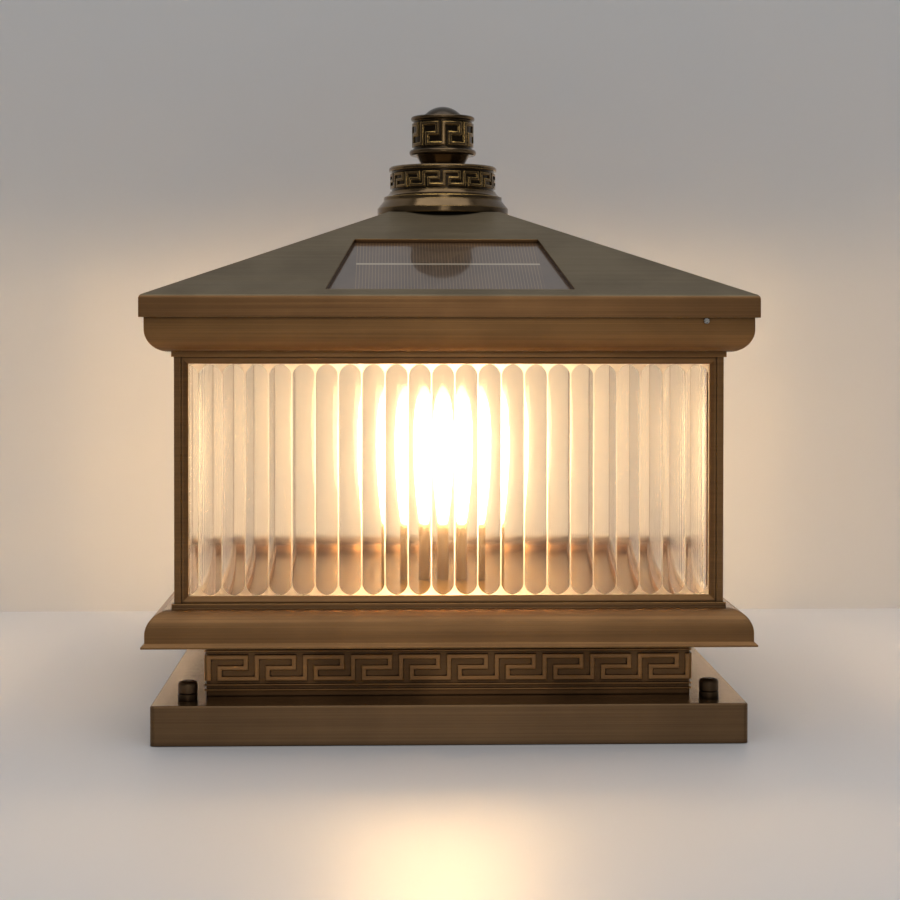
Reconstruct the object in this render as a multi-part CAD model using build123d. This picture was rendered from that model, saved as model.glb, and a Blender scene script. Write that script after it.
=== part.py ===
from build123d import *
import math
import os

# A square solar pillar light: tray, fretted neck, two mouldings, glazed lantern, solar roof and finial.
# Millimetres, +Z up, origin under the middle of the base, front towards -Y.

# Base tray and the plate that stays on the pillar
tray_setback = 2.2
tray_height = 19.4
tray_wall = 1.2
tray_corner_radius = 2.5
tray_edge_radius = 1.0
wiring_hole_radius = 14.0
plate_thickness = 3.0
plate_edge = 9.0
plate_corner_radius = 8.0
plate_band = 62.0
anchor_inset = 28.8
anchor_hole_radius = 4.5

# Studs, washers and cap nuts
stud_inset = 16.7
stud_radius = 3.0
stud_hole_clearance = 0.3
thread_clearance = 0.05
nut_radius = 4.85
nut_side_height = 4.2
nut_edge_radius = 2.2
nut_foot_chamfer = 0.5
washer_thickness = 3.2
washer_groove = 0.35

# Neck with its Greek key
neck_setback = 26.2
neck_height = 28.2
neck_wall = 2.0
neck_flange = 11.0
neck_flange_thickness = 1.5
key_units = 10
key_height = 12.9
key_bar = 2.2
key_gap = 3.2
key_relief = 1.1
key_rail_offset = 1.95
key_rail_step = 2.5
key_rail_height = 0.9

# Mouldings below and above the lantern
lip_overhang = 1.7
lip_edge = 0.9
lip_height = 2.3
ovolo_radius = 11.0
lower_ovolo_flat = 4.2
upper_ovolo_flat = 5.8
bead_step = 0.8
bead_height = 2.5
moulding_wall = 2.0
moulding_flange = 20.0
rim_overlap = 4.0

# Lantern body
body_setback = 1.2
window_height = 120.6
post_face = 3.3
post_core = 1.0
post_web = 0.7
frame_member = 3.4
frame_land = 0.9
frame_bevel = 1.3
frame_depth = 2.0
frame_setback = 0.5
fit_gap = 0.1
pane_thickness = 3.2
pane_corner_gap = 0.6
flute_pitch = 11.4
flute_land = 0.3
flute_depth = 1.2
flute_arch = 6.4
flute_offset = -3.3
floor_thickness = 1.5
floor_gap = 0.3

# Roof
eave_width = 300.0
fascia_height = 10.6
eave_radius = 2.5
roof_rise = 47.6
roof_top_width = 60.0
roof_wall = 2.0
roof_gap = 0.3
gusset_leg = 22.0
gusset_height = 3.5
ceiling_thickness = 1.5
ceiling_flange_margin = 0.9
panel_margin = 8.6
panel_length = 74.6
panel_foot_width = 121.2
panel_head_width = 95.4
panel_thickness = 3.0
panel_ledge = 4.0

# Roof screws
lock_screw_inset = 26.0
lock_screw_drop = 0.3
lock_screw_radius = 1.0
lock_head_radius = 1.3
lock_head_height = 0.9
screw_radius = 1.5
screw_head_radius = 2.8
screw_head_height = 1.8
screw_hole_clearance = 0.2
screw_grip = 3.0

# Finial, turned and cast
flange_overhang = 7.9
flange_step = 3.5
flange_edge_height = 3.2
flange_slope_height = 4.4
flange_step_height = 2.0
flange_cove = 0.6
drum_radius = 28.6
drum_rim_overhang = 1.4
drum_rim_chamfer = 0.8
waist_foot_radius = 11.1
waist_top_radius = 14.9
ring_overhang = 2.3
ring_bulge = 1.0
knob_radius = 16.4
knob_rim_overhang = 1.4
knob_rim_bulge = 0.7
dome_radius = 11.2
finial_foot_height = 12.9
drum_height = 11.2
drum_rim_height = 2.4
waist_height = 6.5
ring_height = 3.2
knob_height = 16.15
knob_rim_height = 2.3
dome_height = 5.8
drum_key_units = 16
drum_key_bar = 1.4
drum_key_gap = 1.5
drum_key_margin = 1.5
knob_key_units = 8
knob_key_bar = 1.7
knob_key_gap = 1.8
knob_key_margin = 1.6
finial_relief = 0.8
rod_radius = 4.0
rod_thread_below = 9.0
rod_grip = 9.0
finial_nut_width = 13.0
finial_nut_room = 0.5
finial_nut_end = 1.7

# Lamp holder and bulb
holder_radius = 15.8
holder_rise = 29.0
holder_depth = 12.0
holder_flange_radius = 24.0
holder_flange_thickness = 3.0
cap_radius = 13.2
cap_length = 24.0
cap_clearance = 0.08
cap_stand = 2.0
contact_radius = 5.0
contact_height = 3.2
globe_radius = 30.0
globe_length = 76.0
globe_wall = 1.0

# Solar electronics on the ceiling plate
box_length = 120.0
box_width = 84.0
box_height = 30.0
box_wall = 2.0
cell_radius = 9.1
cell_length = 65.0
cell_count = 3
cell_gap = 1.0
cell_clearance = 0.3
holder_base = 1.5
holder_end = 2.0
board_length = 100.0
board_width = 14.0
board_thickness = 1.6
button_radius = 4.5
button_reach = 4.0
button_travel = 1.5
button_clearance = 0.3
switch_width = 13.0
switch_height = 9.0

# Heights of the storeys, from the ground up
tray_top = tray_height
neck_top = tray_top + neck_height
lower_ovolo_foot = neck_top + lip_height + lower_ovolo_flat
lower_ovolo_top = lower_ovolo_foot + ovolo_radius
floor_top = lower_ovolo_top - moulding_wall
floor_foot = floor_top - floor_thickness
body_foot = lower_ovolo_top + bead_height
body_top = body_foot + window_height
upper_ovolo_foot = body_top + bead_height
upper_ovolo_top = upper_ovolo_foot + ovolo_radius
fascia_foot = upper_ovolo_top + upper_ovolo_flat
rim_top = fascia_foot + rim_overlap
ceiling_top = rim_top + ceiling_thickness
eave_top = fascia_foot + fascia_height
roof_top = eave_top + roof_rise

# Half widths that several pieces share, from the eave inwards
eave_half = eave_width / 2
fascia_inside = eave_half - roof_wall
upper_half = fascia_inside - roof_gap
bead_half = upper_half - ovolo_radius - bead_step
body_half = bead_half - body_setback
lower_half = bead_half + bead_step + ovolo_radius
neck_half = lower_half - neck_setback
tray_half = lower_half - tray_setback
stud_half = tray_half - stud_inset
anchor_half = stud_half - anchor_inset
flange_inside = bead_half - moulding_flange
frame_half = body_half - post_face - fit_gap
frame_front = body_half - frame_setback
frame_back = frame_front - frame_depth
pane_front = frame_back - fit_gap
pane_back = pane_front - pane_thickness
pane_half = pane_back - pane_corner_gap
opening_half = frame_half - frame_member
core_outside = pane_back - 2 * fit_gap
core_inside = core_outside - post_core
floor_half = core_inside - floor_gap
rim_inside = upper_half - moulding_wall
ceiling_half = fascia_inside - roof_gap
ceiling_flange_half = rim_inside - roof_gap
roof_slope = math.atan2(roof_rise, eave_half - roof_top_width / 2)
reach = eave_width
tower = roof_top

side_angles = {"right": 0, "rear": 90, "left": 180, "front": 270}
corner_angles = {"rear_right": 0, "rear_left": 90, "front_left": 180, "front_right": 270}


def on_xz(*edges):
    """A face in the XZ plane from edges drawn as (x, z)."""
    return Plane.XZ * make_face(list(edges))


def turned(*edges):
    """A solid of revolution about Z from edges drawn as (radius, z)."""
    return revolve(on_xz(*edges), Axis.Z)


def post(radius, foot, top):
    """A round bar on the Z axis."""
    return Pos(0, 0, foot) * Cylinder(radius, top - foot, align=(Align.CENTER, Align.CENTER, Align.MIN))


def block(size_x, size_y, foot, top):
    """A rectangular block centred on the Z axis."""
    return Pos(0, 0, foot) * Box(size_x, size_y, top - foot, align=(Align.CENTER, Align.CENTER, Align.MIN))


def dome_arc(radius, foot, crown):
    """Half the outline of a shallow spherical cap, from its rim to its top on the axis."""
    rise = crown - foot
    ball = (radius * radius + rise * rise) / (2 * rise)
    half_angle = math.asin(radius / ball) / 2
    middle = (ball * math.sin(half_angle), crown - ball + ball * math.cos(half_angle))
    return ThreePointArc((radius, foot), middle, (0, crown))


def mitred_side(section):
    """One straight length of a square moulding, on the +X side, mitred at both ends."""
    wedge = make_face(Polyline((0, 0), (reach, -reach), (reach, reach), close=True))
    return extrude(section, reach, both=True) & extrude(wedge, tower)


def square_storey(half_section):
    """A solid of square plan whose four sides all show the same outline."""
    section = half_section + mirror(half_section, Plane.YZ)
    slab = extrude(section, reach, both=True)
    return slab & slab.rotate(Axis.Z, 90)


def at_corners(half, piece):
    """Four copies of a piece on the corners of a square."""
    return [Pos(x, y, 0) * piece for x in (-half, half) for y in (-half, half)]


def around(piece):
    """Four copies of a piece, a quarter turn apart."""
    return [piece.rotate(Axis.Z, angle) for angle in side_angles.values()]


def screw(head_under, shank_end):
    """A pan head screw on the Z axis, its head against head_under and its tip at shank_end."""
    away = -math.copysign(screw_head_height, shank_end - head_under)
    head = post(screw_head_radius, min(head_under, head_under + away), max(head_under, head_under + away))
    shank = post(screw_radius, min(head_under, shank_end), max(head_under, shank_end))
    return head + shank


def meander(pitch, units, bar, gap, height):
    """The bars of a Greek key as (left, right, low, high), from its lower left corner."""
    step = bar + gap
    low = bar / 2
    high = height - bar / 2
    middle = (low + high) / 2
    lines = []
    for unit in range(units):
        start = unit * pitch
        end = start + pitch
        lines.append((start, start, low, high))
        lines.append((start, end - step, high, high))
        lines.append((end - step, end - step, middle, high))
        lines.append((start + step, end - step, middle, middle))
        lines.append((start + step, start + step, low, middle))
        lines.append((start + step, end, low, low))
    return [(a - bar / 2, b + bar / 2, c - bar / 2, d + bar / 2) for a, b, c, d in lines]


def mounting_plate():
    width = 2 * stud_half + 2 * plate_edge
    window = width - 2 * plate_band
    sheet = RectangleRounded(width, width, plate_corner_radius) - Rectangle(window, window)
    for hole in at_corners(anchor_half, Circle(anchor_hole_radius)):
        sheet -= hole
    for hole in at_corners(stud_half, Circle(stud_radius)):
        sheet -= hole
    return extrude(sheet, plate_thickness)


def mounting_studs():
    stud_top = tray_top + washer_thickness + nut_side_height
    return Compound(children=at_corners(stud_half, post(stud_radius, 0, stud_top)))


def base_tray():
    width = 2 * tray_half
    outline = RectangleRounded(width, width, tray_corner_radius)
    shell = extrude(outline, tray_height)
    shell = fillet(shell.faces().sort_by(Axis.Z)[-1].edges(), tray_edge_radius)
    inside = width - 2 * tray_wall
    hollow = RectangleRounded(inside, inside, tray_corner_radius - tray_wall)
    shell -= extrude(hollow, tray_height - tray_wall)
    for hole in at_corners(stud_half, post(stud_radius + stud_hole_clearance, 0, tray_top)):
        shell -= hole
    screw_hole = post(screw_radius + screw_hole_clearance, 0, tray_top)
    for hole in around(Pos(neck_screw_place(), 0, 0) * screw_hole):
        shell -= hole
    return shell - post(wiring_hole_radius, 0, tray_top)


def stud_washers():
    foot = tray_top
    top = foot + washer_thickness
    waist = nut_radius - washer_groove
    bore = stud_radius + stud_hole_clearance
    outline = Polyline(
        (bore, foot), (nut_radius, foot), (nut_radius, top - washer_groove), (waist, top), (bore, top),
        close=True
    )
    return Compound(children=at_corners(stud_half, turned(outline)))


def cap_nut():
    foot = tray_top + washer_thickness
    shoulder = foot + nut_side_height
    crown = shoulder + nut_edge_radius
    flat = nut_radius - nut_edge_radius
    bore = stud_radius + thread_clearance
    bore_end = shoulder + thread_clearance
    side = Polyline(
        (flat, crown), (0, crown), (0, bore_end), (bore, bore_end), (bore, foot),
        (nut_radius - nut_foot_chamfer, foot), (nut_radius, foot + nut_foot_chamfer), (nut_radius, shoulder)
    )
    return turned(side, CenterArc((flat, shoulder), nut_edge_radius, 0, 90))


def neck_screw_place():
    """Distance from the axis to the screws in the neck's flanges."""
    return neck_half - key_relief - neck_wall - neck_flange / 2


def neck_side():
    face = neck_half - key_relief
    inside = face - neck_wall
    flange = inside - neck_flange
    outline = Polyline(
        (face, tray_top), (face, neck_top), (flange, neck_top), (flange, neck_top - neck_flange_thickness),
        (inside, neck_top - neck_flange_thickness), (inside, tray_top + neck_flange_thickness),
        (flange, tray_top + neck_flange_thickness), (flange, tray_top), close=True
    )
    plate = mitred_side(on_xz(outline))
    hole = Pos(neck_screw_place(), 0, 0) * post(screw_radius + thread_clearance, tray_top, neck_top)
    return (plate - hole) + key_relief_side(face)


def key_relief_side(face):
    """The raised Greek key on the +X side of the neck, with two rails above it and two below."""
    middle = (tray_top + neck_top) / 2
    length = 2 * face - key_bar
    pitch = length / key_units
    left = -length / 2
    foot = middle - key_height / 2
    bars = meander(pitch, key_units, key_bar, key_gap, key_height)
    rail = key_height / 2 + key_rail_offset
    boxes = [(left + a, left + b, foot + c, foot + d) for a, b, c, d in bars]
    end = left + length
    boxes.append((end - key_bar / 2, end + key_bar / 2, foot, foot + key_height))
    half_rail = key_rail_height / 2
    outer_rail = rail + key_rail_step
    for height in (middle - outer_rail, middle - rail, middle + rail, middle + outer_rail):
        boxes.append((left - key_bar / 2, end + key_bar / 2, height - half_rail, height + half_rail))
    shape = Sketch()
    shape += [Pos((a + b) / 2, (c + d) / 2) * Rectangle(b - a, d - c) for a, b, c, d in boxes]
    return Pos(face, 0, 0) * extrude(Plane.YZ * shape, key_relief)


def neck_screws():
    place = Pos(neck_screw_place(), 0, 0)
    lower = around(place * screw(tray_top - tray_wall, tray_top + neck_flange_thickness + screw_grip))
    upper = around(place * screw(neck_top - neck_flange_thickness, neck_top + moulding_wall + screw_grip))
    return Compound(children=lower + upper)


def lower_moulding_side():
    lip = lower_half + lip_overhang
    centre = lower_half - ovolo_radius
    inner = ovolo_radius - moulding_wall
    neck_inside = neck_half - key_relief - neck_wall - neck_flange
    wall = moulding_wall
    outside = Polyline(
        (neck_inside, neck_top), (lip, neck_top), (lip, neck_top + lip_edge),
        (lower_half, neck_top + lip_height), (lower_half, lower_ovolo_foot)
    )
    ovolo = CenterArc((centre, lower_ovolo_foot), ovolo_radius, 0, 90)
    top = Polyline(
        (centre, lower_ovolo_top), (bead_half, lower_ovolo_top), (bead_half, body_foot),
        (flange_inside, body_foot), (flange_inside, lower_ovolo_top - wall),
        (centre, lower_ovolo_top - wall)
    )
    hollow = CenterArc((centre, lower_ovolo_foot), inner, 0, 90)
    inside = Polyline(
        (lower_half - wall, lower_ovolo_foot), (lower_half - wall, neck_top + wall),
        (neck_inside, neck_top + wall), (neck_inside, neck_top)
    )
    side = mitred_side(on_xz(outside, ovolo, top, hollow, inside))
    bore = screw_radius + thread_clearance
    side -= Pos(neck_screw_place(), 0, 0) * post(bore, neck_top, neck_top + wall)
    return side - Pos(floor_screw_place(), 0, 0) * post(bore, floor_top, body_foot)


def floor_screw_place():
    """Distance from the axis to the screws that hold the lantern's floor."""
    return (flange_inside + floor_half) / 2


def floor_plate():
    """The lantern's floor, hung under the lower moulding's flange."""
    plate = block(2 * floor_half, 2 * floor_half, floor_foot, floor_top)
    screw_hole = post(screw_radius + screw_hole_clearance, floor_foot, floor_top)
    for hole in around(Pos(floor_screw_place(), 0, 0) * screw_hole):
        plate -= hole
    for place in holder_screw_places():
        plate -= place * post(screw_radius + thread_clearance, floor_foot, floor_top)
    return plate - post(holder_radius + fit_gap, floor_foot, floor_top)


def floor_screws():
    """Screws from below, through the floor into the flange over it."""
    return Compound(children=around(Pos(floor_screw_place(), 0, 0) * screw(floor_foot, body_foot)))


def corner_post():
    """The rear right post: an outer square and an inner core joined by a diagonal web."""
    outer_middle = body_half - post_face / 2
    core_middle = (core_inside + core_outside) / 2
    web_middle = (outer_middle + core_middle) / 2
    web_length = (outer_middle - core_middle) * math.sqrt(2)
    plan = Pos(outer_middle, outer_middle) * Rectangle(post_face, post_face)
    plan += Pos(core_middle, core_middle) * Rectangle(post_core, post_core)
    plan += Pos(web_middle, web_middle) * Rot(0, 0, 45) * Rectangle(web_length, post_web)
    return Pos(0, 0, body_foot) * extrude(plan, window_height)


def window_frame():
    """Four mitred bars around the +X window, with a bevel down to the glass."""
    middle = (body_foot + body_top) / 2
    inner_face = frame_front - frame_bevel
    bars = []
    half_height = window_height / 2
    for half_run, edge, turn in ((frame_half, half_height, 0), (half_height, frame_half, 90)):
        lip = edge - frame_member
        for flip in (0, 180):
            section = Plane.XZ * make_face(Polyline(
                (frame_front, edge), (frame_front, edge - frame_land), (inner_face, lip), (frame_back, lip),
                (frame_back, edge), close=True
            ))
            bar = extrude(section, half_run, both=True)
            mitre = Plane.YZ * make_face(Polyline(
                (-half_run, edge), (half_run, edge), (half_run - frame_member, lip),
                (frame_member - half_run, lip), close=True
            ))
            bar = bar & extrude(mitre, reach)
            bars.append(Pos(0, 0, middle) * bar.rotate(Axis.X, turn + flip))
    return Compound(children=bars)


def flute_outline(middle, foot, top):
    """A flute seen from the front: straight sides and a pointed arch at both ends."""
    left = middle - (flute_pitch - flute_land) / 2
    right = middle + (flute_pitch - flute_land) / 2
    sides = [Line((left, foot), (left, top)), Line((right, top), (right, foot))]
    for side in (left, right):
        sides.append(TangentArc((side, top), (middle, top + flute_arch), tangent=(0, 1)))
        sides.append(TangentArc((side, foot), (middle, foot - flute_arch), tangent=(0, -1)))
    return make_face(sides)


def glass_pane():
    """The +X pane: a flat sheet with upright hollow flutes outside, each ending in a pointed arch."""
    sheet = block(pane_thickness, 2 * pane_half, body_foot, body_top)
    sheet = Pos((pane_front + pane_back) / 2, 0, 0) * sheet
    room = opening_half - fit_gap
    foot = body_foot + frame_member + fit_gap
    top = body_top - frame_member - fit_gap
    half_width = (flute_pitch - flute_land) / 2
    flute_radius = (half_width ** 2 + flute_depth ** 2) / (2 * flute_depth)
    axis = pane_front - flute_depth + flute_radius
    each_way = math.ceil((room + abs(flute_offset)) / flute_pitch)
    window = block(2 * reach, 2 * room, foot, top)
    flutes = []
    for place in range(-each_way, each_way + 1):
        middle = flute_offset + place * flute_pitch
        outline = Plane.YZ * flute_outline(middle, foot + flute_arch, top - flute_arch)
        hollow = Pos(axis, middle, 0) * post(flute_radius, foot, top)
        flute = hollow & extrude(outline, reach) & window
        if flute:
            flutes.append(flute)
    return sheet - flutes


def upper_moulding_side():
    centre = upper_half - ovolo_radius
    inner = ovolo_radius - moulding_wall
    shelf = upper_ovolo_foot + moulding_wall
    foot = Polyline(
        (flange_inside, shelf), (flange_inside, body_top), (bead_half, body_top),
        (bead_half, upper_ovolo_foot), (centre, upper_ovolo_foot)
    )
    ovolo = CenterArc((centre, upper_ovolo_top), ovolo_radius, -90, 90)
    rim = Polyline(
        (upper_half, upper_ovolo_top), (upper_half, rim_top), (rim_inside, rim_top),
        (rim_inside, upper_ovolo_top)
    )
    hollow = CenterArc((centre, upper_ovolo_top), inner, -90, 90)
    back = Line((centre, shelf), (flange_inside, shelf))
    side = mitred_side(on_xz(foot, ovolo, rim, hollow, back))
    return side - lock_screw_axis() * Cylinder(lock_screw_radius + thread_clearance, 4 * moulding_wall)


def lock_screw_axis():
    """Where the +X side's lock screw crosses the face of the upper moulding, pointing outwards."""
    height = fascia_foot - lock_head_radius - lock_screw_drop
    return Plane(origin=(upper_half, eave_half - lock_screw_inset, height), z_dir=(1, 0, 0))


def roof_lock_screws():
    """One small screw a side, through the rim against the ceiling plate's flange."""
    grip = upper_half - ceiling_flange_half
    shank = Cylinder(lock_screw_radius, grip, align=(Align.CENTER, Align.CENTER, Align.MAX))
    head = Cylinder(lock_head_radius, lock_head_height, align=(Align.CENTER, Align.CENTER, Align.MIN))
    return Compound(children=around(lock_screw_axis() * (head + shank)))


def panel_plane():
    """The +X slope of the roof: origin on the eave edge, x to a viewer's right, y up the slope."""
    normal = (math.sin(roof_slope), 0, math.cos(roof_slope))
    return Plane(origin=(eave_half, 0, eave_top), x_dir=(0, 1, 0), z_dir=normal)


def panel_outline(grow):
    """The trapezium of a solar panel on its slope, made larger all round by grow."""
    foot = panel_foot_width / 2
    head = panel_head_width / 2
    low = panel_margin
    high = panel_margin + panel_length
    shape = make_face(Polyline((-foot, low), (foot, low), (head, high), (-head, high), close=True))
    return offset(shape, grow, kind=Kind.INTERSECTION) if grow else shape


def solar_panel():
    depth = roof_wall + panel_thickness
    return panel_plane() * Pos(0, 0, -depth) * extrude(panel_outline(panel_ledge), panel_thickness)


def roof_shell():
    top_half = roof_top_width / 2
    outline = make_face(Polyline(
        (0, fascia_foot), (eave_half, fascia_foot), (eave_half, eave_top), (top_half, roof_top),
        (0, roof_top), close=True
    ))
    eave = outline.vertices().sort_by_distance((eave_half, eave_top, 0))[0]
    outside = square_storey(Plane.XZ * fillet(eave, eave_radius))
    drop = roof_wall / math.cos(roof_slope)
    run = math.tan(roof_slope)
    inner_eave = eave_top + roof_wall * run - drop
    inner_top = roof_top - roof_wall
    inner_half = eave_half - (inner_top + drop - eave_top) / run
    below = fascia_foot - roof_wall
    inside = square_storey(on_xz(Polyline(
        (0, below), (fascia_inside, below), (fascia_inside, inner_eave), (inner_half, inner_top),
        (0, inner_top), close=True
    )))
    shell = outside - inside
    cutter = panel_plane() * Pos(0, 0, -2 * roof_wall) * extrude(panel_outline(0), 4 * roof_wall)
    for window in around(cutter):
        shell -= window
    wall = fascia_inside + roof_wall / 2
    leg = fascia_inside - gusset_leg
    corner = make_face(Polyline(
        (wall, wall), (leg, wall), (leg, fascia_inside), (fascia_inside, leg), (wall, leg), close=True
    ))
    gusset = Pos(0, 0, ceiling_top) * extrude(corner, gusset_height)
    gusset -= ceiling_screw_place() * post(screw_radius + thread_clearance, ceiling_top, roof_top)
    for web in around(gusset & outside):
        shell += web
    return shell - post(rod_radius + stud_hole_clearance, eave_top, roof_top)


def ceiling_screw_place():
    place = ceiling_flange_half - ceiling_thickness - screw_head_radius - floor_gap
    return Pos(place, place, 0)


def ceiling_plate():
    width = 2 * ceiling_half
    plate = block(width, width, rim_top, ceiling_top)
    outer = 2 * ceiling_flange_half
    inner = outer - 2 * ceiling_thickness
    screw_height = fascia_foot - lock_head_radius - lock_screw_drop
    flange_foot = screw_height - lock_screw_radius - ceiling_flange_margin
    plate += block(outer, outer, flange_foot, rim_top) - block(inner, inner, flange_foot, rim_top)
    screw_hole = post(screw_radius + screw_hole_clearance, rim_top, ceiling_top)
    for hole in around(ceiling_screw_place() * screw_hole):
        plate -= hole
    return plate - button_place() * post(button_radius + button_clearance, rim_top, ceiling_top)


def ceiling_screws():
    tip = ceiling_top + gusset_height
    return Compound(children=around(ceiling_screw_place() * screw(rim_top, tip)))


def controller_box():
    top = ceiling_top + box_height
    inside_length = box_length - 2 * box_wall
    inside_width = box_width - 2 * box_wall
    box = block(box_length, box_width, ceiling_top, top)
    return box - block(inside_length, inside_width, ceiling_top, top - box_wall)


def battery_places():
    """The y of each rechargeable cell, side by side from the box's rear wall."""
    rear = box_width / 2 - box_wall - cell_clearance - cell_radius
    pitch = 2 * cell_radius + cell_gap
    return [rear - place * pitch for place in range(cell_count)]


def battery_cells():
    lift = ceiling_top + holder_base + cell_clearance + cell_radius
    cell = Rot(0, 90, 0) * Cylinder(cell_radius, cell_length)
    return Compound(children=[Pos(0, place, lift) * cell for place in battery_places()])


def battery_holder():
    """A tray with two end walls that grip the cells."""
    places = battery_places()
    width = places[0] - places[-1] + 2 * cell_radius
    top = ceiling_top + holder_base + cell_clearance + 2 * cell_radius
    tray = block(cell_length + 2 * holder_end, width, ceiling_top, top)
    tray -= block(cell_length, width, ceiling_top + holder_base, top)
    return Pos(0, (places[0] + places[-1]) / 2, 0) * tray


def board_place():
    """The controller board lies along the box's front wall."""
    return Pos(0, board_width / 2 + box_wall + cell_clearance - box_width / 2, 0)


def controller_board():
    return board_place() * block(board_length, board_width, ceiling_top, ceiling_top + board_thickness)


def button_place():
    """The power button stands beside the cells, in the box's right end."""
    return Pos(box_length / 2 - box_wall - switch_width / 2 - cell_clearance, 0, 0)


def power_switch():
    body = block(switch_width, switch_width, ceiling_top, ceiling_top + switch_height)
    well = button_radius + button_clearance
    return button_place() * (body - post(well, ceiling_top, ceiling_top + switch_height / 2))


def power_button():
    top = ceiling_top + switch_height / 2 - button_travel - button_clearance
    button = post(button_radius, rim_top - button_reach, top)
    return button_place() * fillet(button.faces().sort_by(Axis.Z)[0].edges(), button_radius / 5)


def key_on_drum(radius, units, bar, gap, foot, height):
    """The bars of a Greek key raised on a round drum."""
    pitch = 2 * math.pi * radius / units
    depth = finial_relief + fit_gap
    bars = []
    for left, right, low, high in meander(pitch, units, bar, gap, height):
        middle = Pos(radius - fit_gap + depth / 2, foot + (low + high) / 2)
        face = Plane.XZ * middle * Rectangle(depth, high - low)
        sweep = math.degrees((right - left) / radius)
        bars.append(revolve(face, Axis.Z, sweep).rotate(Axis.Z, math.degrees(left / radius)))
    return bars


def finial_drum():
    """The finial's foot: a stepped flange below a fretted drum, tapped for the rod."""
    foot = roof_top
    shoulder = foot + finial_foot_height
    top = shoulder + drum_height
    crown = top + drum_rim_height
    bore = rod_radius
    flange_radius = drum_radius + flange_overhang
    rim_radius = drum_radius + drum_rim_overhang
    chamfer = drum_rim_chamfer
    step_radius = flange_radius - flange_step
    edge = foot + flange_edge_height
    slope = edge + flange_slope_height
    ledge = slope + flange_step_height
    flange = Polyline(
        (bore, foot), (flange_radius, foot), (flange_radius, edge), (step_radius, slope), (step_radius, ledge)
    )
    cove_end = (drum_radius + finial_relief, shoulder - fit_gap)
    cove = SagittaArc((step_radius, ledge), cove_end, flange_cove)
    side = Polyline(
        cove_end, (drum_radius, shoulder), (drum_radius, top), (rim_radius, top),
        (rim_radius, crown - chamfer), (rim_radius - chamfer, crown), (bore, crown), (bore, foot)
    )
    drum = turned(flange, cove, side)
    key_foot = shoulder + drum_key_margin
    height = drum_height - 2 * drum_key_margin
    bars = key_on_drum(drum_radius, drum_key_units, drum_key_bar, drum_key_gap, key_foot, height)
    return drum.fuse(*bars)


def finial_knob():
    """The finial's head: a waist, a ring, a fretted drum and a shallow dome."""
    foot = roof_top + finial_foot_height + drum_height + drum_rim_height
    ring = foot + waist_height
    drum = ring + ring_height
    rim = drum + knob_height
    crown = rim + knob_rim_height
    peak = crown + dome_height
    bore = rod_radius
    bore_end = foot + rod_grip
    ring_edge = knob_radius + ring_overhang - ring_bulge
    rim_edge = knob_radius + knob_rim_overhang - knob_rim_bulge
    low = Polyline(
        (0, peak), (0, bore_end), (bore, bore_end), (bore, foot), (waist_foot_radius, foot),
        (waist_top_radius, ring), (ring_edge, ring)
    )
    torus = ThreePointArc((ring_edge, ring), (ring_edge + ring_bulge, (ring + drum) / 2), (ring_edge, drum))
    side = Polyline((ring_edge, drum), (knob_radius, drum), (knob_radius, rim), (rim_edge, rim))
    bead = ThreePointArc((rim_edge, rim), (rim_edge + knob_rim_bulge, (rim + crown) / 2), (rim_edge, crown))
    ledge = Line((rim_edge, crown), (dome_radius, crown))
    head = turned(low, torus, side, bead, ledge, dome_arc(dome_radius, crown, peak))
    key_foot = drum + knob_key_margin
    height = knob_height - 2 * knob_key_margin
    bars = key_on_drum(knob_radius, knob_key_units, knob_key_bar, knob_key_gap, key_foot, height)
    return head.fuse(*bars)


def finial_rod():
    top = roof_top + finial_foot_height + drum_height + drum_rim_height + rod_grip
    return post(rod_radius, roof_top - rod_thread_below, top)


def finial_nut():
    """A blind nut under the roof, closed below so that no rain gets in along the rod."""
    top = roof_top - roof_wall
    bore_end = roof_top - rod_thread_below - finial_nut_room
    foot = bore_end - finial_nut_end
    across_corners = finial_nut_width / math.cos(math.pi / 6)
    nut = Pos(0, 0, foot) * extrude(RegularPolygon(across_corners / 2, 6), top - foot)
    return nut - post(rod_radius + thread_clearance, bore_end, top)


def lampholder():
    """A socket that stands through the floor, its flange screwed on from below."""
    flange_foot = floor_foot - holder_flange_thickness
    rim = floor_top + holder_rise
    body = post(holder_radius, floor_top - holder_depth, rim)
    body += post(holder_flange_radius, flange_foot, floor_foot)
    body -= post(cap_radius + cap_clearance, cap_foot() - cap_stand, rim)
    for place in holder_screw_places():
        body -= place * post(screw_radius + screw_hole_clearance, flange_foot, floor_foot)
    return body


def holder_screw_places():
    """The two screws halfway out on the lamp holder's flange."""
    out = (holder_radius + holder_flange_radius) / 2
    return [Pos(-out, 0, 0), Pos(out, 0, 0)]


def cap_foot():
    """Where the bulb's screw cap starts, a little above the bottom of the socket."""
    return floor_top + holder_rise - cap_length + cap_stand


def holder_screws():
    one = screw(floor_foot - holder_flange_thickness, floor_top)
    return Compound(children=[place * one for place in holder_screw_places()])


def bulb_contact():
    """The insulator and tip contact under the screw cap."""
    foot = cap_foot() - cap_stand + thread_clearance
    return post(contact_radius, foot, foot + contact_height)


def bulb_cap():
    foot = cap_foot()
    top = foot + cap_length
    tip_top = foot - cap_stand + thread_clearance + contact_height
    cap = post(cap_radius, foot, top) - post(contact_radius, foot, tip_top)
    return cap - post(cap_radius - globe_wall, tip_top + globe_wall, top)


def globe_outline(shrink):
    """Half of the bulb's pear shape, set in by shrink, as (radius, z) edges from its neck to its crown."""
    foot = cap_foot() + cap_length
    crown = foot + globe_length - shrink
    belly = foot + globe_length - globe_radius
    radius = globe_radius - shrink
    neck = cap_radius - shrink
    cheek = TangentArc((radius, belly), (neck, foot), tangent=(0, -1))
    top = CenterArc((0, belly), radius, 0, 90)
    return cheek, top, foot, crown


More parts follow.
